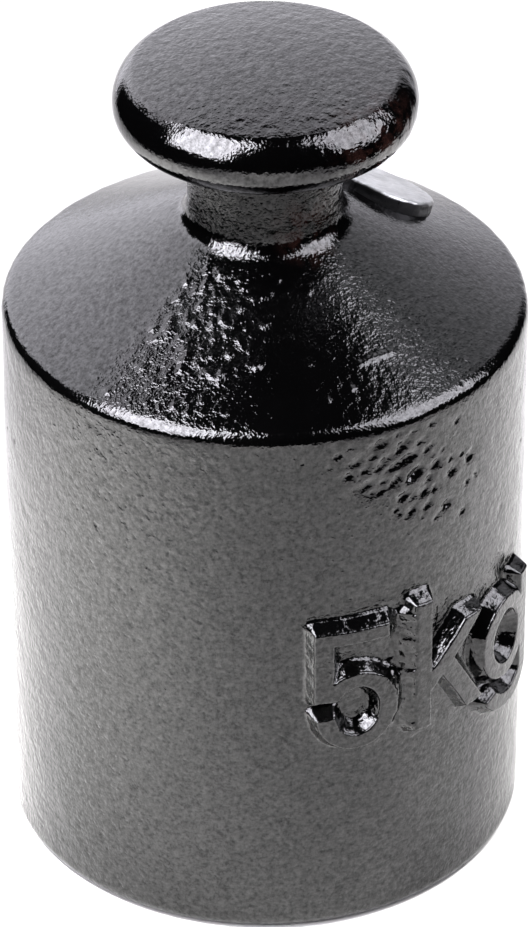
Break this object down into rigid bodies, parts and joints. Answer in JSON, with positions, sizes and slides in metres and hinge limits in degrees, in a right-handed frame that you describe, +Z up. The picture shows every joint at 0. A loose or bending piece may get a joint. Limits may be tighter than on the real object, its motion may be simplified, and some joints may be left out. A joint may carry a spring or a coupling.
{
  "type": "calibration weight",
  "caption": "Enamelled cast-iron knob weight with raised 5 kg marking, conical shoulder, grip knob on a neck, and a lead-sealed adjusting cavity.",
  "frame": {"origin": "centre of the flat base, on the weight's axis", "axes": "+Z up along the axis towards the knob; -Y is the side that carries the raised marking; +X to the right of the marking"},
  "size_m": [0.088, 0.0907, 0.1458],
  "materials": {
    "black_enamel": "gloss",
    "lead": "satin",
    "brass": "satin"
  },
  "bodies": {
    "root": {"weight_casting": "black_enamel", "lead_seal": "lead", "closing_disc": "brass", "adjusting_shot": "lead"}
  },
  "joints": []
}
